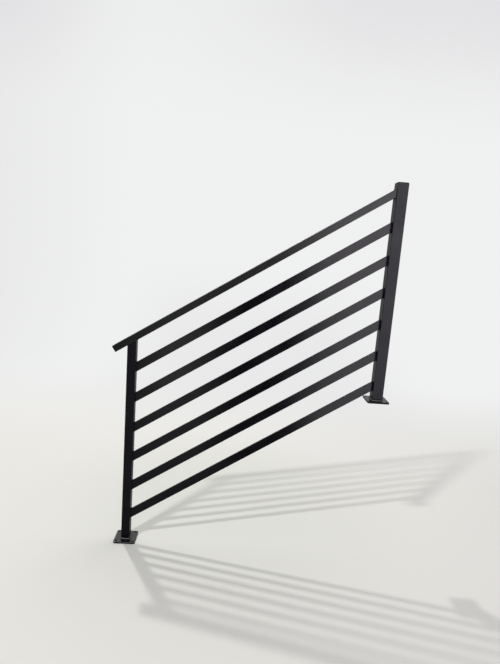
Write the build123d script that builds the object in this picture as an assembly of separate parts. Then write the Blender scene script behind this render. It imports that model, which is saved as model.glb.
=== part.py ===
from build123d import *
import math
import os

# Aluminium stair guardrail section with two posts and six sloping infill bars.
# Units are millimetres. +X runs along the rail towards its upper end, +Z is up,
# and the front, which the photograph shows, faces -Y.
# The origin is the centre of the lower base plate's underside.

# Layout of the section
SPAN = 1172.0
RISE = 794.0
SLOPE_DEG = 32.95
UPPER_POST_TOP = 1811.0
HANDRAIL_AXIS_HEIGHT = 1018.5
LOWEST_BAR_HEIGHT = 123.5
BAR_PITCH = 149.2
BAR_COUNT = 6
HANDRAIL_OVERRUN = 99.0

# Square post tubes
LOWER_POST_SIDE = 41.0
UPPER_POST_SIDE = 50.8
POST_WALL = 3.2
POST_CORNER = 2.0
POST_INNER_CORNER = 0.8

# Handrail tube, height measured square to its slope
HANDRAIL_HEIGHT = 31.75
HANDRAIL_WIDTH = 45.0
HANDRAIL_WALL = 2.5
HANDRAIL_CORNER = 2.0
HANDRAIL_INNER_CORNER = 0.8

# Flat infill bars, height measured square to their slope
BAR_HEIGHT = 40.0
BAR_DEPTH = 10.0
BAR_CORNER = 1.4

# Base plates
PLATE_SIDE = 104.0
PLATE_THICKNESS = 8.0
PLATE_CORNER = 8.0
PLATE_EDGE = 0.8
HOLE_SPACING = 81.0
HOLE_DIAMETER = 10.0

# End caps
POST_CAP_THICKNESS = 6.0
POST_CAP_CORNER = 4.6
POST_CAP_EDGE = 4.0
HANDRAIL_CAP_THICKNESS = 3.2
HANDRAIL_CAP_EDGE = 0.8

# Weld beads: leg along both joined surfaces, or a narrower one where a surface is narrow
FOOT_WELD_LEG = 5.5
BAR_WELD_LEG = 3.0
HANDRAIL_WELD_LEG = 3.0
HANDRAIL_WELD_SIDE_LEG = 0.7
WELD_BULGE = 0.14
WELD_STEPS = 2
WELD_SINK = 0.3

SLOPE = math.radians(SLOPE_DEG)
LOWER_FACE_X = LOWER_POST_SIDE / 2
UPPER_FACE_X = SPAN - UPPER_POST_SIDE / 2
REACH = 2 * SPAN


def along_slope(shape, axis_height):
    """Tilt a shape made along X up to the slope and raise its axis to a height at X = 0."""
    return Pos(0, 0, axis_height) * Rot(0, -SLOPE_DEG, 0) * shape


def bar_along_x(width, height, corner, start, end):
    """Solid bar of rounded rectangular section from X = start to X = end."""
    section = Plane.YZ.offset(start) * RectangleRounded(width, height, corner)
    return extrude(section, end - start, dir=(1, 0, 0))


def between_posts():
    """Block that fills the space between the two posts' inner faces."""
    length = UPPER_FACE_X - LOWER_FACE_X
    middle = (UPPER_FACE_X + LOWER_FACE_X) / 2
    return Pos(middle, 0, 0) * Box(length, REACH, REACH * 2)


def left_of_upper_post():
    """Block that fills the space on the lower side of the upper post's inner face."""
    return Pos(UPPER_FACE_X - REACH / 2, 0, 0) * Box(REACH, REACH, REACH * 2)


def square_tube(side, wall, corner, inner_corner, bottom, top):
    """Upright square tube."""
    outer = extrude(Plane.XY.offset(bottom) * RectangleRounded(side, side, corner), top - bottom)
    bore = RectangleRounded(side - 2 * wall, side - 2 * wall, inner_corner)
    return outer - extrude(Plane.XY.offset(bottom) * bore, top - bottom)


def base_plate():
    """Square plate with rounded corners and four bolt holes, underside on Z = 0."""
    outline = RectangleRounded(PLATE_SIDE, PLATE_SIDE, PLATE_CORNER)
    holes = GridLocations(HOLE_SPACING, HOLE_SPACING, 2, 2) * Circle(HOLE_DIAMETER / 2)
    plate = extrude(outline - holes, PLATE_THICKNESS)
    top_rim = plate.faces().sort_by(Axis.Z)[-1].outer_wire().edges()
    return chamfer(top_rim, PLATE_EDGE)


def weld_bead(width, height, corner, leg, side_leg, lean):
    """Convex fillet bead round a rectangular member that leaves the plane Z = 0.

    The outline lies in the plane Z = 0. side_leg is the bead's spread along the
    outline's second axis, where the surface it lies on may be narrow. lean is how
    far the member moves along the outline's first axis for each mm it rises.
    """
    rings = []
    for step in range(WELD_STEPS + 1):
        t = step / WELD_STEPS
        swell = 4 * WELD_BULGE * t * (1 - t)
        spread = 1 - t + swell
        rise = leg * (t + swell)
        ring = RectangleRounded(
            width + 2 * leg * spread - 2 * WELD_SINK * t,
            height + 2 * side_leg * spread - 2 * WELD_SINK * t,
            corner + side_leg * spread - WELD_SINK * t,
        )
        rings.append(Pos(lean * rise, 0, rise) * ring)
    return loft(rings, ruled=True)


# Posts
lower_post_blank = square_tube(
    LOWER_POST_SIDE, POST_WALL, POST_CORNER, POST_INNER_CORNER, PLATE_THICKNESS, HANDRAIL_AXIS_HEIGHT + PLATE_SIDE
)
above_seat = Pos(0, 0, REACH / 2 - HANDRAIL_HEIGHT / 2) * Box(REACH, REACH, REACH)
lower_post = lower_post_blank - along_slope(above_seat, HANDRAIL_AXIS_HEIGHT)
upper_post = Pos(SPAN, 0, 0) * square_tube(
    UPPER_POST_SIDE,
    POST_WALL,
    POST_CORNER,
    POST_INNER_CORNER,
    RISE + PLATE_THICKNESS,
    UPPER_POST_TOP - POST_CAP_THICKNESS,
)
post_cap_blank = extrude(
    Plane.XY.offset(UPPER_POST_TOP - POST_CAP_THICKNESS)
    * RectangleRounded(UPPER_POST_SIDE, UPPER_POST_SIDE, POST_CAP_CORNER),
    POST_CAP_THICKNESS,
)
post_cap_rim = post_cap_blank.faces().sort_by(Axis.Z)[-1].edges()
upper_post_cap = Pos(SPAN, 0, 0) * fillet(post_cap_rim, POST_CAP_EDGE)

# Base plates
lower_base_plate = base_plate()
upper_base_plate = Pos(SPAN, 0, RISE) * base_plate()

# Handrail and its end cap
rail_start = -HANDRAIL_OVERRUN + HANDRAIL_CAP_THICKNESS
handrail_outer = bar_along_x(HANDRAIL_WIDTH, HANDRAIL_HEIGHT, HANDRAIL_CORNER, rail_start, REACH)
handrail_bore = bar_along_x(
    HANDRAIL_WIDTH - 2 * HANDRAIL_WALL,
    HANDRAIL_HEIGHT - 2 * HANDRAIL_WALL,
    HANDRAIL_INNER_CORNER,
    rail_start,
    REACH,
)
handrail = along_slope(handrail_outer - handrail_bore, HANDRAIL_AXIS_HEIGHT) & left_of_upper_post()
rail_cap_blank = bar_along_x(HANDRAIL_WIDTH, HANDRAIL_HEIGHT, HANDRAIL_CORNER, -HANDRAIL_OVERRUN, rail_start)
rail_cap_rim = rail_cap_blank.faces().sort_by(Axis.X)[0].edges()
handrail_end_cap = along_slope(chamfer(rail_cap_rim, HANDRAIL_CAP_EDGE), HANDRAIL_AXIS_HEIGHT)

# Infill bars, counted from the lowest
bar_blank = bar_along_x(BAR_DEPTH, BAR_HEIGHT, BAR_CORNER, -PLATE_SIDE, REACH)
bar_heights = [LOWEST_BAR_HEIGHT + BAR_PITCH * i for i in range(BAR_COUNT)]
infill_bars = [along_slope(bar_blank, height) & between_posts() for height in bar_heights]

# Weld beads at the post feet
lower_foot_bead = weld_bead(LOWER_POST_SIDE, LOWER_POST_SIDE, POST_CORNER, FOOT_WELD_LEG, FOOT_WELD_LEG, 0)
lower_post_solid = extrude(RectangleRounded(LOWER_POST_SIDE, LOWER_POST_SIDE, POST_CORNER), PLATE_SIDE)
lower_foot_weld = Pos(0, 0, PLATE_THICKNESS) * (lower_foot_bead - lower_post_solid)
upper_foot_bead = weld_bead(UPPER_POST_SIDE, UPPER_POST_SIDE, POST_CORNER, FOOT_WELD_LEG, FOOT_WELD_LEG, 0)
upper_post_solid = extrude(RectangleRounded(UPPER_POST_SIDE, UPPER_POST_SIDE, POST_CORNER), PLATE_SIDE)
upper_foot_weld = Pos(SPAN, 0, RISE + PLATE_THICKNESS) * (upper_foot_bead - upper_post_solid)

# Planes on the posts' inner faces, first axis up, third axis out of the post
lower_face = Plane(origin=(LOWER_FACE_X, 0, 0), x_dir=(0, 0, 1), z_dir=(1, 0, 0))
upper_face = Plane(origin=(UPPER_FACE_X, 0, 0), x_dir=(0, 0, 1), z_dir=(-1, 0, 0))
CLIMB = math.tan(SLOPE)


def end_weld(plane, face_x, axis_height, outward, size, corner, legs, member):
    """Bead round a sloping member, size (width, height), where it meets a post's inner face."""
    centre = axis_height + face_x * CLIMB
    width, height = size
    leg, side_leg = legs
    bead = weld_bead(height / math.cos(SLOPE), width, corner, leg, side_leg, outward * CLIMB)
    return plane * (Pos(centre, 0, 0) * bead) - member


bar_size = (BAR_DEPTH, BAR_HEIGHT)
bar_legs = (BAR_WELD_LEG, BAR_WELD_LEG)
bar_welds = []
for height in bar_heights:
    member = along_slope(bar_blank, height)
    lower_bead = end_weld(lower_face, LOWER_FACE_X, height, 1, bar_size, BAR_CORNER, bar_legs, member)
    upper_bead = end_weld(upper_face, UPPER_FACE_X, height, -1, bar_size, BAR_CORNER, bar_legs, member)
    bar_welds.append((lower_bead, upper_bead))
handrail_upper_weld = end_weld(
    upper_face,
    UPPER_FACE_X,
    HANDRAIL_AXIS_HEIGHT,
    -1,
    (HANDRAIL_WIDTH, HANDRAIL_HEIGHT),
    HANDRAIL_CORNER,
    (HANDRAIL_WELD_LEG, HANDRAIL_WELD_SIDE_LEG),
    along_slope(handrail_outer, HANDRAIL_AXIS_HEIGHT),
)

# Bead round the lower post under the handrail, made on the rail's underside facing down
seat_bead = weld_bead(
    LOWER_POST_SIDE / math.cos(SLOPE),
    LOWER_POST_SIDE,
    POST_CORNER,
    HANDRAIL_WELD_LEG,
    HANDRAIL_WELD_SIDE_LEG,
    CLIMB,
)
seat_offset = -HANDRAIL_HEIGHT / 2 / math.cos(SLOPE)
seat_plane = Plane(
    origin=(0, 0, HANDRAIL_AXIS_HEIGHT + seat_offset),
    x_dir=(-math.cos(SLOPE), 0, -math.sin(SLOPE)),
    z_dir=(math.sin(SLOPE), 0, -math.cos(SLOPE)),
)
lower_post_column = extrude(
    RectangleRounded(LOWER_POST_SIDE, LOWER_POST_SIDE, POST_CORNER), HANDRAIL_AXIS_HEIGHT + PLATE_SIDE
)
handrail_lower_weld = seat_plane * seat_bead - lower_post_column

pieces = {
    "lower_base_plate": [lower_base_plate],
    "upper_base_plate": [upper_base_plate],
    "lower_post": [lower_post],
    "upper_post": [upper_post],
    "upper_post_cap": [upper_post_cap],
    "handrail": [handrail],
    "handrail_end_cap": [handrail_end_cap],
    "post_foot_welds": [lower_foot_weld, upper_foot_weld],
    "handrail_welds": [handrail_lower_weld, handrail_upper_weld],
}
for number, (bar, beads) in enumerate(zip(infill_bars, bar_welds), start=1):
    pieces[f"infill_bar_{number}"] = [bar]
    pieces[f"bar_{number}_welds"] = list(beads)

os.makedirs("parts", exist_ok=True)
total = 0.0
for name, shapes in pieces.items():
    solids = [solid for shape in shapes for solid in shape.solids()]
    volume = sum(solid.volume for solid in solids)
    total += volume
    print(name, len(solids), round(volume, 1), all(solid.is_valid for solid in solids))
    export_step(solids[0] if len(solids) == 1 else Compound(children=solids), f"parts/{name}.step")
print("volume mm3", round(total, 1))
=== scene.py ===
"""Looks of a sloping aluminium stair guardrail section, dressed round its CAD frame.

The posts, plates, bars, handrail and caps keep their CAD meshes and get
powder-coat materials. The weld beads are rippled beads made by one geometry node
tree along the real joint lines. A paper sweep, two lamps, a soft box, a ceiling
panel and cards that only the reflections see stand in for the studio.
"""

import logging
import math
from dataclasses import dataclass, field
from enum import Enum
from functools import partial

import bpy
from mathutils import Matrix, Vector


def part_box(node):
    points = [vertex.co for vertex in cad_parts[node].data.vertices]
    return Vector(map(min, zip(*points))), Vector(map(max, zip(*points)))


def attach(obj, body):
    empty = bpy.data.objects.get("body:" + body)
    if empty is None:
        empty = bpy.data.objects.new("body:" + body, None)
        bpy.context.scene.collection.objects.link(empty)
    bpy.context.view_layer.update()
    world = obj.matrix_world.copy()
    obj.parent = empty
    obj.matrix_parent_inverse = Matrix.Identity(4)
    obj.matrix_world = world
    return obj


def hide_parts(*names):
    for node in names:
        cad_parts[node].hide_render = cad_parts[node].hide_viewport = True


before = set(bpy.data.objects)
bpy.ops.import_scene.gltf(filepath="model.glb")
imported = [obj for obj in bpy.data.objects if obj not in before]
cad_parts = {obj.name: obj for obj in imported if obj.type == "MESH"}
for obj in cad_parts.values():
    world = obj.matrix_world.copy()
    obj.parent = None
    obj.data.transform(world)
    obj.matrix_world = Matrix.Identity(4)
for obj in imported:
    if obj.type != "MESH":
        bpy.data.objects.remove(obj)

log = logging.getLogger("guardrail")

Colour = tuple[float, float, float]
Point = tuple[float, float, float]
Span = tuple[float, float]
Box = tuple[Vector, Vector]
MM = 0.001
BODY = "root"
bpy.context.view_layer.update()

PHOTO_WIDTH_PX = 500
PHOTO_HEIGHT_PX = 664

# Socket types of the effects
VECTOR, VALUE, COLOUR = "NodeSocketVector", "NodeSocketFloat", "NodeSocketColor"

BARS = tuple(f"infill_bar_{number}" for number in range(1, 7))
ALONG_X, ALONG_Y, ALONG_Z = Vector((1, 0, 0)), Vector((0, 1, 0)), Vector((0, 0, 1))


class Easing(Enum):
    """How a value passes from one end of a range to the other."""

    STRAIGHT = "LINEAR"
    SOFT = "SMOOTHSTEP"


def put(name: str, data: bpy.types.ID) -> bpy.types.Object:
    """Put a new object in the scene.

    Args:
        name: The object's name.
        data: Its mesh, lamp or camera.

    Returns:
        The object.
    """
    thing = bpy.data.objects.new(name, data)
    bpy.context.scene.collection.objects.link(thing)
    return thing


# Node helpers


def add_node(tree: bpy.types.NodeTree, kind: str, **settings: object) -> bpy.types.Node:
    """Add a node to a tree and set its plain properties.

    Args:
        tree: The tree that gets the node.
        kind: The node's type name.
        settings: Property names and their values.

    Returns:
        The new node.
    """
    node = tree.nodes.new(kind)
    for name, value in settings.items():
        setattr(node, name, value)
    return node


def math_node(
    tree: bpy.types.NodeTree, operation: str, *values: object
) -> bpy.types.NodeSocket:
    """Add a math node whose inputs are numbers or sockets.

    Args:
        tree: The tree that gets the node.
        operation: The math operation's name.
        values: Numbers, or sockets to link, in the order of the inputs.

    Returns:
        The node's output.
    """
    node = add_node(tree, "ShaderNodeMath", operation=operation)
    for socket, value in zip(node.inputs, values):
        if isinstance(value, (int, float)):
            socket.default_value = value
        else:
            tree.links.new(value, socket)
    return node.outputs[0]


def noise_node(
    tree: bpy.types.NodeTree, vector: bpy.types.NodeSocket, scale: object,
    detail: float, rough: float = 0.5,
) -> bpy.types.NodeSocket:
    """Add a noise texture.

    Args:
        tree: The tree that gets the node.
        vector: The coordinates.
        scale: The noise's scale, a number or a socket.
        detail: Octaves of detail.
        rough: How strong the finer octaves are.

    Returns:
        The noise's factor output.
    """
    node = add_node(tree, "ShaderNodeTexNoise")
    node.inputs["Detail"].default_value = detail
    node.inputs["Roughness"].default_value = rough
    tree.links.new(vector, node.inputs["Vector"])
    if isinstance(scale, (int, float)):
        node.inputs["Scale"].default_value = scale
    else:
        tree.links.new(scale, node.inputs["Scale"])
    return node.outputs["Fac"]


def mix_colour(
    tree: bpy.types.NodeTree, factor: bpy.types.NodeSocket, first: object, second: object
) -> bpy.types.NodeSocket:
    """Mix two colours.

    Args:
        tree: The tree that gets the node.
        factor: The mix factor.
        first: Colour at factor 0, a tuple or a socket.
        second: Colour at factor 1, a tuple or a socket.

    Returns:
        The mixed colour.
    """
    node = add_node(tree, "ShaderNodeMix", data_type="RGBA")
    tree.links.new(factor, node.inputs["Factor"])
    for name, value in (("A", first), ("B", second)):
        socket = next(s for s in node.inputs if s.name == name and s.type == "RGBA")
        if isinstance(value, tuple):
            socket.default_value = (*value, 1.0)
        else:
            tree.links.new(value, socket)
    return next(s for s in node.outputs if s.type == "RGBA")


def remap(
    tree: bpy.types.NodeTree, value: bpy.types.NodeSocket, old: Span, new: Span,
    easing: Easing = Easing.STRAIGHT,
) -> bpy.types.NodeSocket:
    """Map a value from one range to another, clamped.

    Args:
        tree: The tree that gets the node.
        value: The value to map.
        old: The range it comes from.
        new: The range it goes to.
        easing: How it passes from one end to the other.

    Returns:
        The mapped value.
    """
    node = add_node(tree, "ShaderNodeMapRange", interpolation_type=easing.value)
    tree.links.new(value, node.inputs["Value"])
    node.inputs["From Min"].default_value, node.inputs["From Max"].default_value = old
    node.inputs["To Min"].default_value, node.inputs["To Max"].default_value = new
    return node.outputs["Result"]


def shader_group(
    name: str, inputs: dict[str, tuple[str, object]], outputs: dict[str, str]
) -> tuple[bpy.types.NodeTree, bpy.types.Node, bpy.types.Node]:
    """Start a shader node group with named sockets.

    Args:
        name: The group's name.
        inputs: Input names with their socket type and default.
        outputs: Output names with their socket type.

    Returns:
        The tree, its input node and its output node.
    """
    tree = bpy.data.node_groups.new(name, "ShaderNodeTree")
    for label, (kind, default) in inputs.items():
        socket = tree.interface.new_socket(label, in_out="INPUT", socket_type=kind)
        if default is not None:
            socket.default_value = default
    for label, kind in outputs.items():
        tree.interface.new_socket(label, in_out="OUTPUT", socket_type=kind)
    return tree, add_node(tree, "NodeGroupInput"), add_node(tree, "NodeGroupOutput")


def orange_peel_group() -> bpy.types.NodeTree:
    """Shallow waves and fine grain of a baked powder coat.

    Returns:
        A group that puts out a height in metres.
    """
    tree, source, result = shader_group(
        "orange_peel",
        {
            "Vector": (VECTOR, None),
            "Wave Scale": (VALUE, 380.0),
            "Wave Height": (VALUE, 0.00001),
            "Grain Height": (VALUE, 0.000002),
        },
        {"Height": VALUE},
    )
    place, grain_ratio = source.outputs["Vector"], 5.5
    waves = noise_node(tree, place, source.outputs["Wave Scale"], detail=2.0, rough=0.4)
    fine_scale = math_node(tree, "MULTIPLY", source.outputs["Wave Scale"], grain_ratio)
    grain = noise_node(tree, place, fine_scale, detail=3.0, rough=0.55)
    tall = math_node(tree, "MULTIPLY", waves, source.outputs["Wave Height"])
    small = math_node(tree, "MULTIPLY", grain, source.outputs["Grain Height"])
    tree.links.new(math_node(tree, "ADD", tall, small), result.inputs["Height"])
    return tree


def coat_tone_group() -> bpy.types.NodeTree:
    """Slow drift of a coat's colour and roughness, with a fine speckle.

    Returns:
        A group that puts out a colour and a roughness.
    """
    tree, source, result = shader_group(
        "coat_tone",
        {
            "Vector": (VECTOR, None),
            "Colour": (COLOUR, (0.01, 0.01, 0.01, 1.0)),
            "Colour Drift": (VALUE, 0.2),
            "Roughness": (VALUE, 0.3),
            "Roughness Drift": (VALUE, 0.06),
        },
        {"Colour": COLOUR, "Roughness": VALUE},
    )
    place, middle = source.outputs["Vector"], (0.3, 0.7)
    cloud_scale, cloud_part = 9.0, (-0.7, 0.7)
    speckle_scale, speckle_part = 1400.0, (-0.3, 0.3)
    clouds = noise_node(tree, place, cloud_scale, detail=3.0, rough=0.55)
    speckle = noise_node(tree, place, speckle_scale, detail=1.0)
    slow = remap(tree, clouds, middle, cloud_part)
    fine = remap(tree, speckle, middle, speckle_part)
    both = math_node(tree, "ADD", slow, fine)
    gain = math_node(tree, "MULTIPLY_ADD", both, source.outputs["Colour Drift"], 1.0)
    scaled = add_node(tree, "ShaderNodeVectorMath", operation="SCALE")
    tree.links.new(source.outputs["Colour"], scaled.inputs[0])
    tree.links.new(gain, scaled.inputs["Scale"])
    tree.links.new(scaled.outputs[0], result.inputs["Colour"])
    drift = source.outputs["Roughness Drift"]
    rough = math_node(tree, "MULTIPLY_ADD", both, drift, source.outputs["Roughness"])
    tree.links.new(rough, result.inputs["Roughness"])
    return tree


def edge_wear_group() -> bpy.types.NodeTree:
    """Mask of outer edges, where a powder coat lies thinner and is rubbed first.

    Returns:
        A group that puts out a mask.
    """
    tree, source, result = shader_group(
        "edge_wear",
        {
            "Vector": (VECTOR, None),
            "Width": (VALUE, 0.0025),
            "Amount": (VALUE, 0.5),
        },
        {"Mask": VALUE},
    )
    edge_turn, bevel_samples = (0.01, 0.22), 4
    patch_scale, patch_middle, patch_part = 55.0, (0.35, 0.65), (0.15, 1.0)
    bevel = add_node(tree, "ShaderNodeBevel", samples=bevel_samples)
    tree.links.new(source.outputs["Width"], bevel.inputs["Radius"])
    geometry = add_node(tree, "ShaderNodeNewGeometry")
    facing = add_node(tree, "ShaderNodeVectorMath", operation="DOT_PRODUCT")
    tree.links.new(bevel.outputs["Normal"], facing.inputs[0])
    tree.links.new(geometry.outputs["Normal"], facing.inputs[1])
    turned = math_node(tree, "SUBTRACT", 1.0, facing.outputs["Value"])
    edge = remap(tree, turned, edge_turn, (0.0, 1.0), Easing.SOFT)
    noise = noise_node(tree, source.outputs["Vector"], patch_scale, detail=4.0, rough=0.6)
    patches = remap(tree, noise, patch_middle, patch_part)
    worn = math_node(tree, "MULTIPLY", edge, patches)
    mask = math_node(tree, "MULTIPLY", worn, source.outputs["Amount"])
    tree.links.new(mask, result.inputs["Mask"])
    return tree


def settled_dust_group() -> bpy.types.NodeTree:
    """Mask of the thin dust that settles on surfaces facing up.

    Returns:
        A group that puts out the dust's mask and a plain mask of surfaces facing up.
    """
    tree, source, result = shader_group(
        "settled_dust",
        {"Vector": (VECTOR, None), "Amount": (VALUE, 0.1)},
        {"Mask": VALUE, "Upward": VALUE},
    )
    place, level_from = source.outputs["Vector"], (0.45, 0.98)
    cloud_scale, cloud_middle, cloud_part = 24.0, (0.35, 0.7), (0.25, 1.0)
    fleck_scale, fleck_middle, fleck_part = 900.0, (0.5, 0.75), (0.55, 1.0)
    geometry = add_node(tree, "ShaderNodeNewGeometry")
    split = add_node(tree, "ShaderNodeSeparateXYZ")
    tree.links.new(geometry.outputs["Normal"], split.inputs[0])
    upward = remap(tree, split.outputs["Z"], level_from, (0.0, 1.0), Easing.SOFT)
    tree.links.new(upward, result.inputs["Upward"])
    cloud_noise = noise_node(tree, place, cloud_scale, detail=5.0, rough=0.6)
    clouds = remap(tree, cloud_noise, cloud_middle, cloud_part)
    fleck_noise = noise_node(tree, place, fleck_scale, detail=1.0)
    flecks = remap(tree, fleck_noise, fleck_middle, fleck_part)
    lying = math_node(tree, "MULTIPLY", upward, math_node(tree, "MULTIPLY", clouds, flecks))
    mask = math_node(tree, "MULTIPLY", lying, source.outputs["Amount"])
    tree.links.new(mask, result.inputs["Mask"])
    return tree


@dataclass(frozen=True)
class PaintEffects:
    """The shader node groups that every powder coat places with its own values.

    Attributes:
        peel: Height of the orange peel.
        tone: Drift of colour and roughness.
        wear: Mask of outer edges.
        dust: Masks of settled dust and of surfaces facing up.
    """

    peel: bpy.types.NodeTree
    tone: bpy.types.NodeTree
    wear: bpy.types.NodeTree
    dust: bpy.types.NodeTree

    @classmethod
    def build(cls) -> "PaintEffects":
        """Build each group once."""
        return cls(orange_peel_group(), coat_tone_group(), edge_wear_group(), settled_dust_group())


@dataclass(frozen=True)
class PowderCoat:
    """A baked semi-gloss powder coat on aluminium.

    Attributes:
        name: The material's name.
        roughness: Middle roughness.
        gloss: Level of the mirror reflection seen face on.
        colour: Base colour.
        wave_height: Height of the orange peel, in metres.
        wear: Strength of the thinner coat on outer edges.
        dust: Strength of the settled dust on surfaces facing up.
        top_shine: Strength of a glossier coat layer on surfaces facing up, a painted sheen that
            makes tops reflect more brightly than sides.
    """

    name: str
    roughness: float
    gloss: float
    colour: Colour = (0.0016, 0.0015, 0.003)
    wave_height: float = 0.000012
    wear: float = 0.35
    dust: float = 0.05
    top_shine: float = 0.0

    def material(self, effects: PaintEffects) -> bpy.types.Material:
        """Make the material.

        Args:
            effects: The shared node groups.

        Returns:
            The finished material.
        """
        edge_colour: Colour = (0.032, 0.03, 0.031)
        dust_colour: Colour = (0.3, 0.29, 0.27)
        edge_roughness, dust_roughness, shine_roughness, shine_ior = 0.36, 0.75, 0.12, 3.5
        material = bpy.data.materials.new(self.name)
        material.use_nodes = True
        tree = material.node_tree
        surface = tree.nodes["Principled BSDF"]
        surface.inputs["Specular IOR Level"].default_value = self.gloss
        place = add_node(tree, "ShaderNodeTexCoord").outputs["Object"]
        tone = self._placed(tree, effects.tone, place)
        tone.inputs["Colour"].default_value = (*self.colour, 1.0)
        tone.inputs["Roughness"].default_value = self.roughness
        wear = self._placed(tree, effects.wear, place)
        wear.inputs["Amount"].default_value = self.wear
        dust = self._placed(tree, effects.dust, place)
        dust.inputs["Amount"].default_value = self.dust
        edged = mix_colour(tree, wear.outputs["Mask"], tone.outputs["Colour"], edge_colour)
        dusted = mix_colour(tree, dust.outputs["Mask"], edged, dust_colour)
        tree.links.new(dusted, surface.inputs["Base Color"])
        plain_rough = tone.outputs["Roughness"]
        worn_rough = self._mix_value(tree, wear.outputs["Mask"], plain_rough, edge_roughness)
        rough = self._mix_value(tree, dust.outputs["Mask"], worn_rough, dust_roughness)
        tree.links.new(rough, surface.inputs["Roughness"])
        # Painted sheen: a glossy coat layer only on surfaces facing up.
        if self.top_shine > 0:
            skin = math_node(tree, "MULTIPLY", dust.outputs["Upward"], self.top_shine)
            tree.links.new(skin, surface.inputs["Coat Weight"])
            surface.inputs["Coat Roughness"].default_value = shine_roughness
            surface.inputs["Coat IOR"].default_value = shine_ior
        peel = self._placed(tree, effects.peel, place)
        peel.inputs["Wave Height"].default_value = self.wave_height
        bump = add_node(tree, "ShaderNodeBump")
        bump.inputs["Distance"].default_value = 1.0
        tree.links.new(peel.outputs["Height"], bump.inputs["Height"])
        tree.links.new(bump.outputs["Normal"], surface.inputs["Normal"])
        return material

    @staticmethod
    def _placed(
        tree: bpy.types.NodeTree, group: bpy.types.NodeTree, place: bpy.types.NodeSocket
    ) -> bpy.types.Node:
        """Place a shared group and link its coordinates.

        Args:
            tree: The material's tree.
            group: The shared group.
            place: The coordinates.

        Returns:
            The group's node.
        """
        node = add_node(tree, "ShaderNodeGroup", node_tree=group)
        tree.links.new(place, node.inputs["Vector"])
        return node

    @staticmethod
    def _mix_value(
        tree: bpy.types.NodeTree, factor: bpy.types.NodeSocket, first: bpy.types.NodeSocket,
        second: float,
    ) -> bpy.types.NodeSocket:
        """Mix a value towards a number.

        Args:
            tree: The material's tree.
            factor: The mix factor.
            first: Value at factor 0.
            second: Number at factor 1.

        Returns:
            The mixed value.
        """
        node = add_node(tree, "ShaderNodeMix", data_type="FLOAT")
        tree.links.new(factor, node.inputs["Factor"])
        tree.links.new(first, node.inputs["A"])
        node.inputs["B"].default_value = second
        return node.outputs["Result"]


# Weld beads


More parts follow.
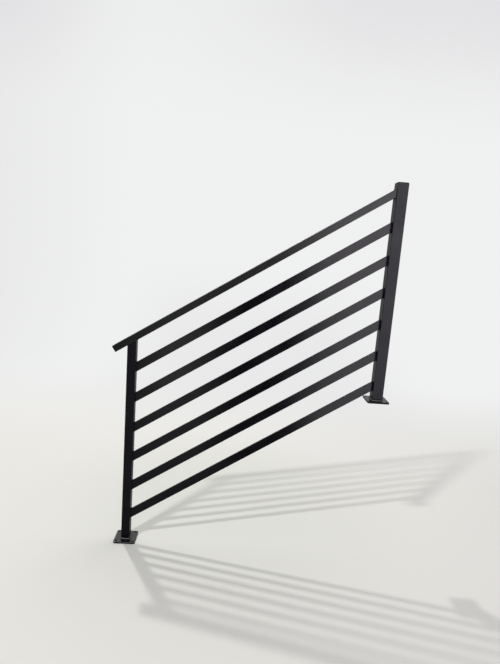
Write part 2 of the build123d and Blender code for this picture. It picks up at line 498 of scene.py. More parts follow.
def bead_tree() -> bpy.types.NodeTree:
    """Geometry node tree that lays a rippled weld bead along closed joint lines.

    The line mesh carries a "joint_axis" vector, the direction in which the welded
    member leaves the joint, and a "bead_scale" that narrows the bead.

    Returns:
        The tree.
    """
    tree = bpy.data.node_groups.new("weld_bead", "GeometryNodeTree")
    face = tree.interface
    face.new_socket("Geometry", in_out="INPUT", socket_type="NodeSocketGeometry")
    for label, default in (
        ("Bead Radius", 0.003),
        ("Ripple Pitch", 0.0018),
        ("Ripple Height", 0.0003),
        ("Crescent", 0.9),
        ("Unevenness", 0.0004),
        ("Flatness", 0.75),
    ):
        socket = face.new_socket(label, in_out="INPUT", socket_type="NodeSocketFloat")
        socket.default_value = default
    face.new_socket("Seed", in_out="INPUT", socket_type="NodeSocketFloat")
    face.new_socket("Material", in_out="INPUT", socket_type="NodeSocketMaterial")
    face.new_socket("Geometry", in_out="OUTPUT", socket_type="NodeSocketGeometry")
    steps_per_ripple, sides = 5.0, 14
    scallop_level, wander_scale, noise_middle = 0.6, 70.0, 0.5
    source, result = add_node(tree, "NodeGroupInput"), add_node(tree, "NodeGroupOutput")
    link, calc = tree.links.new, partial(math_node, tree)

    to_curve = add_node(tree, "GeometryNodeMeshToCurve")
    link(source.outputs["Geometry"], to_curve.inputs["Mesh"])
    resample = add_node(tree, "GeometryNodeResampleCurve", mode="LENGTH")
    link(to_curve.outputs["Curve"], resample.inputs["Curve"])
    step_length = calc("DIVIDE", source.outputs["Ripple Pitch"], steps_per_ripple)
    link(step_length, resample.inputs["Length"])
    narrowing = add_node(tree, "GeometryNodeInputNamedAttribute", data_type="FLOAT")
    narrowing.inputs["Name"].default_value = "bead_scale"
    radius = add_node(tree, "GeometryNodeSetCurveRadius")
    link(resample.outputs["Curve"], radius.inputs["Curve"])
    link(narrowing.outputs["Attribute"], radius.inputs["Radius"])

    along = add_node(tree, "GeometryNodeStoreNamedAttribute", data_type="FLOAT", domain="POINT")
    along.inputs["Name"].default_value = "along"
    parameter = add_node(tree, "GeometryNodeSplineParameter")
    link(radius.outputs["Curve"], along.inputs["Geometry"])
    link(parameter.outputs["Length"], along.inputs["Value"])

    profile = add_node(tree, "GeometryNodeCurvePrimitiveCircle", mode="RADIUS")
    profile.inputs["Resolution"].default_value = sides
    link(source.outputs["Bead Radius"], profile.inputs["Radius"])
    sweep = add_node(tree, "GeometryNodeCurveToMesh")
    link(along.outputs["Geometry"], sweep.inputs["Curve"])
    link(profile.outputs["Curve"], sweep.inputs["Profile Curve"])

    normal = add_node(tree, "GeometryNodeInputNormal")
    axis = add_node(tree, "GeometryNodeInputNamedAttribute", data_type="FLOAT_VECTOR")
    axis.inputs["Name"].default_value = "joint_axis"
    lean = add_node(tree, "ShaderNodeVectorMath", operation="DOT_PRODUCT")
    link(normal.outputs["Normal"], lean.inputs[0])
    link(axis.outputs["Attribute"], lean.inputs[1])
    upright = calc("ABSOLUTE", lean.outputs["Value"])
    diagonal = calc("SUBTRACT", upright, math.sqrt(0.5))
    bowed = calc("MULTIPLY", calc("MULTIPLY", diagonal, diagonal), source.outputs["Crescent"])
    travelled = add_node(tree, "GeometryNodeInputNamedAttribute", data_type="FLOAT")
    travelled.inputs["Name"].default_value = "along"
    turns = calc("DIVIDE", travelled.outputs["Attribute"], source.outputs["Ripple Pitch"])
    phase = calc("MULTIPLY", calc("ADD", turns, bowed), math.pi)
    scallop = calc("SUBTRACT", calc("ABSOLUTE", calc("SINE", phase)), scallop_level)
    ripple = calc("MULTIPLY", scallop, source.outputs["Ripple Height"])

    place = add_node(tree, "GeometryNodeInputPosition")
    wander = add_node(tree, "ShaderNodeTexNoise", noise_dimensions="4D")
    wander.inputs["Scale"].default_value = wander_scale
    link(place.outputs["Position"], wander.inputs["Vector"])
    link(source.outputs["Seed"], wander.inputs["W"])
    drift = calc("SUBTRACT", wander.outputs["Fac"], noise_middle)
    uneven = calc("MULTIPLY", drift, source.outputs["Unevenness"])
    level = calc("SQRT", calc("SUBTRACT", 1.0, calc("MULTIPLY", upright, upright)))
    chord = calc("DIVIDE", 1.0, calc("ADD", upright, level))
    hollow = calc("MULTIPLY", calc("SUBTRACT", chord, 1.0), source.outputs["Flatness"])
    sized = calc("MULTIPLY", source.outputs["Bead Radius"], narrowing.outputs["Attribute"])
    flattened = calc("MULTIPLY", hollow, sized)
    rough = calc("ADD", ripple, uneven)
    out = add_node(tree, "ShaderNodeVectorMath", operation="SCALE")
    link(normal.outputs["Normal"], out.inputs[0])
    link(calc("ADD", rough, flattened), out.inputs["Scale"])
    shift = add_node(tree, "GeometryNodeSetPosition")
    link(sweep.outputs["Mesh"], shift.inputs["Geometry"])
    link(out.outputs[0], shift.inputs["Offset"])

    smooth = add_node(tree, "GeometryNodeSetShadeSmooth")
    link(shift.outputs["Geometry"], smooth.inputs["Geometry"])
    real = add_node(tree, "GeometryNodeRealizeInstances")
    link(smooth.outputs["Geometry"], real.inputs["Geometry"])
    paint = add_node(tree, "GeometryNodeSetMaterial")
    link(real.outputs["Geometry"], paint.inputs["Geometry"])
    link(source.outputs["Material"], paint.inputs["Material"])
    link(paint.outputs["Geometry"], result.inputs["Geometry"])
    return tree


@dataclass(frozen=True)
class JointLine:
    """A closed line on which one weld bead lies.

    Attributes:
        points: The line's points, in metres.
        axis: Direction in which the welded member leaves the joint.
        scales: How wide the bead is at each point, 1 for full.
    """

    points: list[Vector]
    axis: Vector
    scales: list[float]

    @classmethod
    def rectangle(
        cls, centre: Vector, first: Vector, second: Vector, sizes: Span, corner: float,
        axis: Vector, side_scale: float = 1.0,
    ) -> "JointLine":
        """Rounded rectangle in a plane.

        Args:
            centre: The rectangle's centre.
            first: Unit direction of the first size.
            second: Unit direction of the second size.
            sizes: Lengths along the two directions, in metres.
            corner: Corner radius, in metres.
            axis: Direction in which the member leaves the joint.
            side_scale: Bead width on the two sides that face along the second direction.

        Returns:
            The line.
        """
        arc_steps, straight_steps, side_from = 5, 4, 0.7
        half_a, half_b = sizes[0] / 2 - corner, sizes[1] / 2 - corner
        corners = ((half_a, half_b), (-half_a, half_b), (-half_a, -half_b), (half_a, -half_b))
        flat: list[Span] = []
        for quarter, (a, b) in enumerate(corners):
            for step in range(arc_steps + 1):
                turn = math.pi / 2 * (quarter + step / arc_steps)
                flat.append((a + corner * math.cos(turn), b + corner * math.sin(turn)))
            next_a, next_b = corners[(quarter + 1) % len(corners)]
            turn = math.pi / 2 * (quarter + 1)
            for step in range(1, straight_steps):
                share = step / straight_steps
                flat.append((
                    a + (next_a - a) * share + corner * math.cos(turn),
                    b + (next_b - b) * share + corner * math.sin(turn),
                ))
        points = [centre + first * a + second * b for a, b in flat]
        on_side = half_b + corner * side_from
        scales = [side_scale if abs(b) > on_side else 1.0 for _, b in flat]
        return cls(points, axis.normalized(), scales)


@dataclass
class WeldBeads:
    """Weld beads of one group of joints, made by the bead tree.

    Attributes:
        name: The piece's name.
        node: The CAD node that it stands for.
        lines: The joint lines.
        radius: The bead's radius, in metres.
        pitch: Length of one ripple, in metres.
        ripple: Height of a ripple, in metres.
        seed: Seed of the bead's unevenness.
    """

    name: str
    node: str
    lines: list[JointLine]
    radius: float
    pitch: float = 1.9 * MM
    ripple: float = 0.3 * MM
    seed: float = 0.0

    def build(self, tree: bpy.types.NodeTree, material: bpy.types.Material) -> bpy.types.Object:
        """Lay the beads and keep them as a plain mesh.

        Args:
            tree: The bead tree.
            material: The beads' finish.

        Returns:
            The finished piece.
        """
        uneven_share = 0.05
        guide = put(self.name + "_line", self._line_mesh())
        modifier = guide.modifiers.new("bead", "NODES")
        modifier.node_group = tree
        values = {
            "Bead Radius": self.radius,
            "Ripple Pitch": self.pitch,
            "Ripple Height": self.ripple,
            "Unevenness": self.radius * uneven_share,
            "Seed": self.seed,
            "Material": material,
        }
        for item in tree.interface.items_tree:
            if item.in_out == "INPUT" and item.name in values:
                modifier[item.identifier] = values[item.name]
        made = guide.evaluated_get(bpy.context.evaluated_depsgraph_get())
        mesh = bpy.data.meshes.new_from_object(made)
        mesh.name = self.name
        for label in ("along", "bead_scale", "joint_axis"):
            if label in mesh.attributes:
                mesh.attributes.remove(mesh.attributes[label])
        bpy.data.objects.remove(guide)
        piece = put(self.name, mesh)
        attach(piece, BODY)
        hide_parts(self.node)
        triangles = sum(len(face.vertices) - 2 for face in mesh.polygons)
        log.info("%s: %d triangles", self.name, triangles)
        return piece

    def _line_mesh(self) -> bpy.types.Mesh:
        """Wire mesh of the joint lines, with their axis and width at each point.

        Returns:
            The mesh, which has only edges.
        """
        verts: list[Vector] = []
        edges: list[tuple[int, int]] = []
        axes: list[float] = []
        scales: list[float] = []
        for line in self.lines:
            start, count = len(verts), len(line.points)
            verts += line.points
            edges += [(start + i, start + (i + 1) % count) for i in range(count)]
            axes += [part for _ in line.points for part in line.axis]
            scales += line.scales
        mesh = bpy.data.meshes.new(self.name + "_line")
        mesh.from_pydata(verts, edges, [])
        axis = mesh.attributes.new("joint_axis", "FLOAT_VECTOR", "POINT")
        axis.data.foreach_set("vector", axes)
        scale = mesh.attributes.new("bead_scale", "FLOAT", "POINT")
        scale.data.foreach_set("value", scales)
        return mesh


# The guardrail


@dataclass
class Section:
    """Sizes of the guardrail that the frame's nodes give, in metres.

    Attributes:
        lower_post: Low and high corner of the lower post's box.
        upper_post: The same of the upper post.
        handrail: The same of the handrail.
    """

    lower_post: Box = field(default_factory=lambda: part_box("lower_post"))
    upper_post: Box = field(default_factory=lambda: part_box("upper_post"))
    handrail: Box = field(default_factory=lambda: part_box("handrail"))

    @property
    def lower_face(self) -> float:
        """X of the lower post's inner face."""
        return self.lower_post[1].x

    @property
    def upper_face(self) -> float:
        """X of the upper post's inner face."""
        return self.upper_post[0].x

    @property
    def lower_side(self) -> float:
        """Side of the lower post."""
        return self.lower_post[1].x - self.lower_post[0].x

    @property
    def upper_side(self) -> float:
        """Side of the upper post."""
        return self.upper_post[1].x - self.upper_post[0].x

    def slope(self) -> float:
        """Slope of the rails, from the ends of the lowest bar.

        Returns:
            The slope, in radians.
        """
        start, _ = self.end_heights(BARS[0], self.lower_face)
        end, _ = self.end_heights(BARS[0], self.upper_face)
        return math.atan2(end - start, self.upper_face - self.lower_face)

    @staticmethod
    def end_heights(node: str, x: float) -> Span:
        """Lowest and highest point of a node's end in an upright plane.

        Args:
            node: The CAD node.
            x: The plane's place along X, in metres.

        Returns:
            The two heights, in metres.
        """
        tolerance = 0.05 * MM
        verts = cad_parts[node].data.vertices
        heights = [vert.co.z for vert in verts if abs(vert.co.x - x) < tolerance]
        return min(heights), max(heights)


# Tints of the one black coat, bluish and slightly different per piece: painted reflection colour,
# standing in for the tints that each piece reflects from its surroundings.
POST_BLACK: Colour = (0.0012, 0.0013, 0.0042)
RAIL_BLACK: Colour = (0.0012, 0.0018, 0.0021)
BAR_BLACK: Colour = (0.0013, 0.0013, 0.0032)


class Finish(Enum):
    """The coats that the pieces wear, one black powder in slightly different lustres. The lustres
    are painted light: each piece's gloss sets how brightly it reflects its surroundings.
    """

    LOWER_POST = PowderCoat(
        "lower_post_powder_coat", roughness=0.38, gloss=0.105, colour=POST_BLACK
    )
    UPPER_POST = PowderCoat(
        "upper_post_powder_coat", roughness=0.38, gloss=0.13, colour=POST_BLACK
    )
    HANDRAIL = PowderCoat("handrail_powder_coat", roughness=0.34, gloss=0.18, colour=RAIL_BLACK)
    BAR = PowderCoat("bar_powder_coat", roughness=0.22, gloss=0.14, colour=BAR_BLACK)
    PLATE = PowderCoat("plate_powder_coat", roughness=0.3, gloss=0.04, top_shine=0.24)
    # Lit copy of the weld coat: glossier, for a bright highlight band on the foot beads; the other
    # beads are duller, for darker joint lines.
    FOOT_WELD = PowderCoat("foot_weld_powder_coat", roughness=0.3, gloss=0.6, wear=0.1)
    WELD = PowderCoat("weld_powder_coat", roughness=0.3, gloss=0.12, wear=0.1)


@dataclass
class Guardrail:
    """The whole section: its finishes and its weld beads.

    Attributes:
        sizes: Sizes read from the frame.
        post_corner: Outer corner radius of the post tubes.
        rail_corner: Outer corner radius of the handrail tube.
        bar_corner: Edge radius of the flat bars.
        foot_bead: Radius of the beads at the posts' feet.
        bar_bead: Radius of the beads at the bars' ends.
        rail_bead: Radius of the beads at the handrail.
        rail_side_scale: Width of the handrail's beads on its front and back, 1 for full.
    """

    sizes: Section = field(default_factory=Section)
    post_corner: float = 2.0 * MM
    rail_corner: float = 2.0 * MM
    bar_corner: float = 1.4 * MM
    foot_bead: float = 4.8 * MM
    bar_bead: float = 2.7 * MM
    rail_bead: float = 2.6 * MM
    rail_side_scale: float = 0.35

    def dress(self, effects: PaintEffects) -> None:
        """Give each CAD node its powder coat.

        Args:
            effects: The shared node groups.
        """
        wearers = {
            Finish.LOWER_POST: ("lower_post",),
            Finish.UPPER_POST: ("upper_post", "upper_post_cap"),
            Finish.HANDRAIL: ("handrail", "handrail_end_cap"),
            Finish.BAR: BARS,
            Finish.PLATE: ("lower_base_plate", "upper_base_plate"),
        }
        for finish, nodes in wearers.items():
            material = finish.value.material(effects)
            for node in nodes:
                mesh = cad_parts[node].data
                mesh.materials.clear()
                mesh.materials.append(material)
                log.info("%s: %s", node, material.name)

    def weld(self, effects: PaintEffects) -> list[bpy.types.Object]:
        """Lay every weld bead.

        Args:
            effects: The shared node groups.

        Returns:
            The finished pieces.
        """
        foot_paint = Finish.FOOT_WELD.value.material(effects)
        paint = Finish.WELD.value.material(effects)
        tree = bead_tree()
        groups = [self._handrail_beads()]
        groups += [self._bar_beads(number, bar) for number, bar in enumerate(BARS, start=1)]
        feet = self._foot_beads().build(tree, foot_paint)
        return [feet] + [group.build(tree, paint) for group in groups]

    def _foot_beads(self) -> WeldBeads:
        """Beads round both posts' feet, on the plates.

        Returns:
            The beads, not yet laid.
        """
        sizes = self.sizes
        posts = ((sizes.lower_post, sizes.lower_side), (sizes.upper_post, sizes.upper_side))
        lines = []
        for (low, high), side in posts:
            centre = Vector(((low.x + high.x) / 2, (low.y + high.y) / 2, low.z))
            lines.append(JointLine.rectangle(
                centre, ALONG_X, ALONG_Y, (side, side), self.post_corner, ALONG_Z
            ))
        return WeldBeads(
            "foot_weld_beads", "post_foot_welds", lines, self.foot_bead,
            pitch=2.6 * MM, ripple=0.25 * MM, seed=1.0,
        )

    def _end_line(
        self, node: str, x: float, width: float, corner: float, outward: float,
        side_scale: float = 1.0,
    ) -> JointLine:
        """Line round a sloping member's upright cut end.

        Args:
            node: The member's CAD node.
            x: Place of the cut along X.
            width: The member's width along Y.
            corner: Its edge radius.
            outward: 1 where the member leaves towards +X, -1 where it leaves towards -X.
            side_scale: Bead width on the member's front and back sides.

        Returns:
            The line.
        """
        low, high = self.sizes.end_heights(node, x)
        return JointLine.rectangle(
            Vector((x, 0, (low + high) / 2)), ALONG_Z, ALONG_Y, (high - low, width), corner,
            ALONG_X * outward, side_scale,
        )

    def _bar_beads(self, number: int, bar: str) -> WeldBeads:
        """Beads round both ends of one infill bar.

        Args:
            number: The bar's number, counted from the lowest.
            bar: Its CAD node.

        Returns:
            The beads, not yet laid.
        """
        low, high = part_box(bar)
        width = high.y - low.y
        lines = [
            self._end_line(bar, self.sizes.lower_face, width, self.bar_corner, 1),
            self._end_line(bar, self.sizes.upper_face, width, self.bar_corner, -1),
        ]
        name, seed = f"bar_{number}_weld_beads", 10.0 + number
        return WeldBeads(name, f"bar_{number}_welds", lines, self.bar_bead, seed=seed)

    def _handrail_beads(self) -> WeldBeads:
        """Bead under the handrail round the lower post, and bead round its upper end.

        Returns:
            The beads, not yet laid.
        """
        low, high = self.sizes.handrail
        slope = self.sizes.slope()
        along = Vector((math.cos(slope), 0, math.sin(slope)))
        down = Vector((math.sin(slope), 0, -math.cos(slope)))
        side = self.sizes.lower_side
        seat_high = self.sizes.lower_post[1].z
        seat_centre = Vector((0, 0, seat_high - side / 2 * math.tan(slope)))
        seat = JointLine.rectangle(
            seat_centre, along, ALONG_Y, (side / math.cos(slope), side), self.post_corner,
            down, self.rail_side_scale,
        )
        end = self._end_line(
            "handrail", self.sizes.upper_face, high.y - low.y, self.rail_corner, -1,
            self.rail_side_scale,
        )
        return WeldBeads(
            "handrail_weld_beads", "handrail_welds", [seat, end], self.rail_bead, seed=30.0
        )


# The studio


@dataclass(frozen=True)
class PhotoCamera:
    """Camera of the photograph.

    Attributes:
        place: Where it stands, in metres.
        focal_px: Focal length in pixels of the 500 by 664 picture.
        pitch: Degrees downwards.
        yaw: Degrees to the right of +Y.
        roll: Degrees by which the picture leans clockwise.
    """

    place: Point = (0.46074, -2.29574, 1.47995)
    focal_px: float = 498.08
    pitch: float = 9.72
    yaw: float = 2.04
    roll: float = 4.34

    def build(self) -> bpy.types.Object:
        """Make the camera and set it as the scene's.

        Returns:
            The camera object.
        """
        sensor_mm, near_clip, far_clip = 36.0, 0.05, 60.0
        data = bpy.data.cameras.new("photo_camera")
        data.sensor_width = sensor_mm
        data.lens = self.focal_px * sensor_mm / max(PHOTO_WIDTH_PX, PHOTO_HEIGHT_PX)
        data.clip_start, data.clip_end = near_clip, far_clip
        camera = put("photo_camera", data)
        pitch, yaw, roll = (math.radians(angle) for angle in (self.pitch, self.yaw, self.roll))
        ahead = Vector((math.sin(yaw), math.cos(yaw), 0))
        forward = ahead * math.cos(pitch) - ALONG_Z * math.sin(pitch)
        level = Vector((math.cos(yaw), -math.sin(yaw), 0))
        upright = level.cross(forward)
        right = level * math.cos(roll) + upright * math.sin(roll)
        up = upright * math.cos(roll) - level * math.sin(roll)
        turn = Matrix((right, up, -forward)).transposed().to_4x4()
        camera.matrix_world = Matrix.Translation(self.place) @ turn
        bpy.context.scene.camera = camera
        return camera


@dataclass(frozen=True)
class Lamp:
    """A small hard studio lamp that throws one of the two floor shadows.

    Attributes:
        name: The lamp's name.
        place: Its centre, in metres.
        radius: Its radius, which softens the shadow.
        watts: Its power.
        colour: Colour of its light.
    """

    name: str
    place: Point
    radius: float
    watts: float
    colour: Colour

    def build(self) -> bpy.types.Object:
        """Make the lamp.

        Returns:
            The lamp object.
        """
        data = bpy.data.lights.new(self.name, "POINT")
        data.energy, data.color, data.shadow_soft_size = self.watts, self.colour, self.radius
        lamp = put(self.name, data)
        lamp.location = self.place
        lamp.visible_camera = False
        return lamp


@dataclass(frozen=True)
class FlatLamp:
    """A flat rectangular lamp: a strip, a soft box or a ceiling panel.

    Attributes:
        name: The lamp's name.
        place: Its centre, in metres.
        size: Its length and its width.
        watts: Its power.
        target: The point that it faces.
        long_side: Direction that its length follows as far as it can.
    """

    name: str
    place: Point
    size: Span
    watts: float
    target: Point
    long_side: Point = (1.0, 0.0, 0.0)

    def build(self) -> bpy.types.Object:
        """Make the lamp.

        Returns:
            The lamp object.
        """
        data = bpy.data.lights.new(self.name, "AREA")
        data.shape = "RECTANGLE"
        data.size, data.size_y = self.size
        data.energy = self.watts
        back = (Vector(self.place) - Vector(self.target)).normalized()
        short_side = back.cross(Vector(self.long_side)).normalized()
        turn = Matrix((short_side.cross(back), short_side, back)).transposed().to_4x4()
        lamp = put(self.name, data)
        lamp.matrix_world = Matrix.Translation(self.place) @ turn
        lamp.visible_camera = False
        return lamp


@dataclass(frozen=True)
class Sweep:
    """White paper sweep: a floor that curves up into a back wall.

    Attributes:
        near: Y of the floor's front edge.
        far: Y of the wall.
        bend: Radius of the curve between them.
        height: The wall's height.
        half_width: Half the sweep's width.
        floor_colour: Colour of the open floor.
        shaded_floor_colour: Colour of the floor close to the guardrail, a painted shade.
        shade_centre: Middle of that painted shade.
        shade_reach: Distances from the middle between which the painted shade clears.
        wall_colour: Colour of the evenly lit wall.
        shaded_wall_colour: Colour of the wall's darker parts, a painted shade.
    """

    near: float = -6.0
    far: float = 5.0
    bend: float = 1.5
    height: float = 7.0
    half_width: float = 8.0
    floor_colour: Colour = (0.772, 0.763, 0.738)
    shaded_floor_colour: Colour = (0.715, 0.712, 0.68)
    shade_centre: Point = (0.45, 0.42, 0.0)
    shade_reach: Span = (0.25, 1.3)
    wall_colour: Colour = (0.872, 0.876, 0.878)
    shaded_wall_colour: Colour = (0.73, 0.725, 0.745)

    def build(self) -> bpy.types.Object:
        """Make the sweep.

        Returns:
            The stage object.
        """
        arc_steps = 16
        foot = self.far - self.bend
        line = [(self.near, 0.0), (foot, 0.0)]
        for step in range(1, arc_steps + 1):
            turn = math.pi / 2 * step / arc_steps
            line.append((foot + self.bend * math.sin(turn), self.bend * (1 - math.cos(turn))))
        line.append((self.far, self.height))
        verts = [(x, y, z) for y, z in line for x in (-self.half_width, self.half_width)]
        faces = [(2 * i, 2 * i + 1, 2 * i + 3, 2 * i + 2) for i in range(len(line) - 1)]
        mesh = bpy.data.meshes.new("paper_sweep")
        mesh.from_pydata(verts, [], faces)
        mesh.shade_smooth()
        mesh.materials.append(self._paper())
        sweep = put("paper_sweep", mesh)
        return sweep

    def _paper(self) -> bpy.types.Material:
        """White paper that fades into an evenly lit wall away from the guardrail, with a painted
        shade on the floor close to the guardrail.

        Returns:
            The material.
        """
        fade = (0.6, 3.4)
        material = bpy.data.materials.new("white_paper")
        material.use_nodes = True
        tree = material.node_tree
        tree.nodes.clear()
        place = add_node(tree, "ShaderNodeTexCoord").outputs["Object"]
        split = add_node(tree, "ShaderNodeSeparateXYZ")
        tree.links.new(place, split.inputs[0])
        away = remap(tree, split.outputs["Y"], fade, (0.0, 1.0), Easing.SOFT)
        # Painted shade: the floor darkens towards shade_centre, close to the guardrail.
        reach = add_node(tree, "ShaderNodeVectorMath", operation="DISTANCE")
        tree.links.new(place, reach.inputs[0])
        reach.inputs[1].default_value = self.shade_centre
        clear = remap(tree, reach.outputs["Value"], self.shade_reach, (0.0, 1.0), Easing.SOFT)
        paper = mix_colour(tree, clear, self.shaded_floor_colour, self.floor_colour)
        near = add_node(tree, "ShaderNodeBsdfDiffuse")
        tree.links.new(paper, near.inputs["Color"])
        wall = add_node(tree, "ShaderNodeEmission")
        tree.links.new(self._wall_glow(tree, split), wall.inputs["Color"])
        mix = add_node(tree, "ShaderNodeMixShader")
        tree.links.new(away, mix.inputs[0])
        tree.links.new(near.outputs[0], mix.inputs[1])
        tree.links.new(wall.outputs[0], mix.inputs[2])
        output = add_node(tree, "ShaderNodeOutputMaterial")
        tree.links.new(mix.outputs[0], output.inputs["Surface"])
        return material

    def _wall_glow(
        self, tree: bpy.types.NodeTree, split: bpy.types.Node
    ) -> bpy.types.NodeSocket:
        """Wall colour, with painted shade at the top corners, at the left and low behind the
        guardrail.

        Args:
            tree: The paper's tree.
            split: Node that puts out the place's X, Y and Z.

        Returns:
            The colour.
        """
        calc, fade = partial(math_node, tree), partial(remap, tree)
        across, height = split.outputs["X"], split.outputs["Z"]
        glow_x, glow_reach, glow_part = -0.75, (0.3, 2.6), (0.25, 1.0)
        top_reach, top_share = (3.0, 5.2), 0.75
        left_reach, left_share = (-3.0, -1.0), 0.35
        behind_x, behind_reach, behind_heights, behind_share = 0.8, (0.8, 2.1), (0.15, 1.3), 0.38
        # Painted shade on the glowing wall: top corners, the left side and low behind the
        # guardrail.
        side = fade(calc("ABSOLUTE", calc("SUBTRACT", across, glow_x)), glow_reach, glow_part)
        high = fade(height, top_reach, (0.0, 1.0), Easing.SOFT)
        left = fade(across, left_reach, (left_share, 0.0), Easing.SOFT)
        top = calc("MULTIPLY", calc("MULTIPLY", high, side), top_share)
        beside = calc("ABSOLUTE", calc("SUBTRACT", across, behind_x))
        behind = fade(beside, behind_reach, (behind_share, 0.0), Easing.SOFT)
        low = fade(height, behind_heights, (1.0, 0.0), Easing.SOFT)
        shade = calc("ADD", calc("ADD", left, top), calc("MULTIPLY", behind, low))
        return mix_colour(tree, shade, self.wall_colour, self.shaded_wall_colour)


@dataclass(frozen=True)
class ReflectionCard:
    """A flat glowing card out of the camera's sight that only the coat's reflections see.
    Its glow is painted light, standing in for lit panels, floor and cloth round the studio.

    Attributes:
        name: The card's name.
        corners: Its corners in order, in metres.
        glow: Strength of its light at the foot and at the top of the fade.
        colour: Colour of its glow, the tint of the cloth or of the light that it stands for.
        fade: Heights between which the light changes from foot to top.
    """

    name: str
    corners: tuple[Point, ...]
    glow: Span = (0.02, 0.02)
    colour: Colour = (1.0, 1.0, 1.0)
    fade: Span = (0.3, 1.9)

    def build(self) -> bpy.types.Object:
        """Make the card.

        Returns:
            The stage object.
        """
        mesh = bpy.data.meshes.new(self.name)
        mesh.from_pydata(self.corners, [], [tuple(range(len(self.corners)))])
        mesh.materials.append(self._light())
        card = put(self.name, mesh)
        card.visible_camera = card.visible_diffuse = card.visible_shadow = False
        return card

    def _light(self) -> bpy.types.Material:
        """Light of the card, weaker or stronger towards its top.

        Returns:
            The material.
        """
        material = bpy.data.materials.new(self.name)
        material.use_nodes = True
        tree = material.node_tree
        tree.nodes.clear()
        light = add_node(tree, "ShaderNodeEmission")
        light.inputs["Color"].default_value = (*self.colour, 1.0)
        light.inputs["Strength"].default_value = self.glow[0]
        if self.glow[0] != self.glow[1]:
            split = add_node(tree, "ShaderNodeSeparateXYZ")
            tree.links.new(add_node(tree, "ShaderNodeTexCoord").outputs["Object"], split.inputs[0])
            strength = remap(tree, split.outputs["Z"], self.fade, self.glow)
            tree.links.new(strength, light.inputs["Strength"])
        output = add_node(tree, "ShaderNodeOutputMaterial")
        tree.links.new(light.outputs[0], output.inputs["Surface"])
        return material


def level_card(height: float, *outline: Span) -> tuple[Point, ...]:
    """Corners of a card that lies level, from its outline seen from above."""
    return tuple((x, y, height) for x, y in outline)


def upright_card(depth: float, *outline: Span) -> tuple[Point, ...]:
    """Corners of a card that stands across the view, from its outline seen from in front."""
    return tuple((x, depth, z) for x, z in outline)


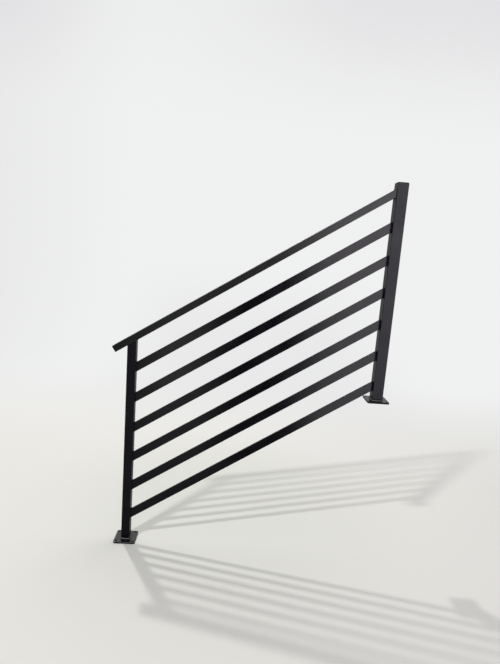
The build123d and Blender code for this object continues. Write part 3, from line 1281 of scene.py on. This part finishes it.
@dataclass(frozen=True)
class Studio:
    """Lamps, cards, sweep, world and camera.

    Attributes:
        world_light: Level of the even light from all sides.
        world_seen: Colour of the world where the camera sees it.
    """

    world_light: float = 0.24
    world_seen: Colour = (0.86, 0.865, 0.87)

    def build(self) -> None:
        """Set up the whole studio."""
        Sweep().build()
        for card in self.cards():
            card.build()
        for lamp in self.lamps():
            lamp.build()
        self._world()
        PhotoCamera().build()
        bpy.context.scene.view_settings.view_transform = "Standard"

    @staticmethod
    def lamps() -> list[Lamp | FlatLamp]:
        """Lamp behind the guardrail, strip lamp in front, soft box and ceiling panel.

        The strip's length follows the slope of the rails, so that their shadows stay crisp.

        Returns:
            The lamps, not yet built.
        """
        slope = Section().slope()
        return [
            Lamp(
                "back_lamp", (-1.38, 2.49, 5.96), radius=0.112, watts=495.0,
                colour=(1.0, 1.0, 0.95),
            ),
            FlatLamp(
                "front_lamp", (-3.611, -5.244, 8.376), size=(1.0, 0.32), watts=386.0,
                target=(0.6, 0.0, 0.9), long_side=(math.cos(slope), 0.0, math.sin(slope)),
            ),
            FlatLamp(
                "left_soft_box", (-0.055, -2.6, 1.265), size=(0.65, 2.47), watts=9.9,
                target=(-0.055, 0.0, 1.265),
            ),
            FlatLamp(
                "ceiling_panel", (2.2, 1.6, 4.5), size=(3.0, 3.0), watts=50.0,
                target=(2.2, 1.6, 0.0),
            ),
        ]

    @staticmethod
    def cards() -> list[ReflectionCard]:
        """Glowing cards round the camera, whose painted light the coat reflects: a bright panel at
        the right, dark cloth elsewhere.

        Returns:
            The cards, not yet built.
        """
        panel_tint, shade_tint = (0.99, 0.94, 1.0), (0.8, 0.88, 1.0)
        front, front_edge, low, ramp, top = -2.6, -1.5, 0.01, 0.05, 3.0
        cloth_plane, flag_plane, wall_x, wall_y, wall_top = -2.62, 3.0, -2.4, 2.4, 2.8
        right_panel = upright_card(
            front, (1.3, 0.03), (3.2, 0.03), (3.2, top), (1.05, top), (1.08, 1.75), (1.15, 1.4),
            (1.26, 1.06), (1.3, 0.9),
        )
        floor_spill = level_card(
            low, (1.17, front), (3.2, front), (3.2, front_edge), (1.17, front_edge)
        )
        floor_cloth = level_card(
            low, (0.4, front), (1.17, front), (1.1, front_edge), (0.85, -0.9), (0.45, -0.9),
            (0.4, front_edge),
        )
        left_spill = (
            *level_card(ramp, (-0.36, front), (0.28, front)),
            *level_card(low, (0.33, -0.8), (-0.05, -0.8)),
        )
        overhead = level_card(top, (-0.7, front), (0.7, front), (0.7, -1.3), (-0.7, -1.3))
        left_wall = (
            (wall_x, -wall_y, 0.0), (wall_x, wall_y, 0.0), (wall_x, wall_y, wall_top),
            (wall_x, -wall_y, wall_top),
        )
        dark_cloth = upright_card(
            cloth_plane, (0.2, 0.0), (1.34, 0.0), (1.34, 2.4), (0.2, 2.4)
        )
        left_cloth = upright_card(
            cloth_plane, (-1.4, 0.0), (-0.45, 0.0), (-0.45, 2.6), (-1.4, 2.6)
        )
        back_flag = upright_card(flag_plane, (-0.3, 0.0), (0.8, 0.0), (0.8, 2.4), (-0.3, 2.4))
        floor_flag = level_card(low, (0.1, 0.5), (0.4, 0.5), (1.0, 2.9), (0.1, 2.9))
        return [
            ReflectionCard("right_panel", right_panel, glow=(5.0, 7.5), colour=panel_tint),
            ReflectionCard("floor_spill", floor_spill, glow=(4.5, 4.5), colour=panel_tint),
            ReflectionCard("floor_cloth", floor_cloth, glow=(0.2, 0.2)),
            ReflectionCard("left_floor_spill", left_spill, glow=(0.95, 1.8), fade=(low, ramp)),
            ReflectionCard("overhead_panel", overhead, glow=(4.0, 4.0)),
            ReflectionCard("left_wall", left_wall, glow=(1.0, 1.0)),
            ReflectionCard("dark_cloth", dark_cloth),
            ReflectionCard("left_cloth", left_cloth, glow=(0.1, 0.1), colour=shade_tint),
            ReflectionCard("back_flag", back_flag, glow=(0.5, 0.5)),
            ReflectionCard("floor_flag", floor_flag, glow=(0.4, 0.4)),
        ]

    def _world(self) -> None:
        """Even soft light, with a pale wall where the camera looks past the paper."""
        world = bpy.data.worlds.new("studio")
        world.use_nodes = True
        tree = world.node_tree
        background = tree.nodes["Background"]
        path = add_node(tree, "ShaderNodeLightPath")
        light = (self.world_light,) * 3
        colour = mix_colour(tree, path.outputs["Is Camera Ray"], light, self.world_seen)
        tree.links.new(colour, background.inputs["Color"])
        bpy.context.scene.world = world


def main() -> None:
    """Dress the guardrail and set up the studio."""
    logging.basicConfig(level=logging.INFO, format="%(name)s: %(message)s")
    effects = PaintEffects.build()
    guardrail = Guardrail()
    guardrail.dress(effects)
    guardrail.weld(effects)
    Studio().build()


if __name__ == "__main__":
    main()
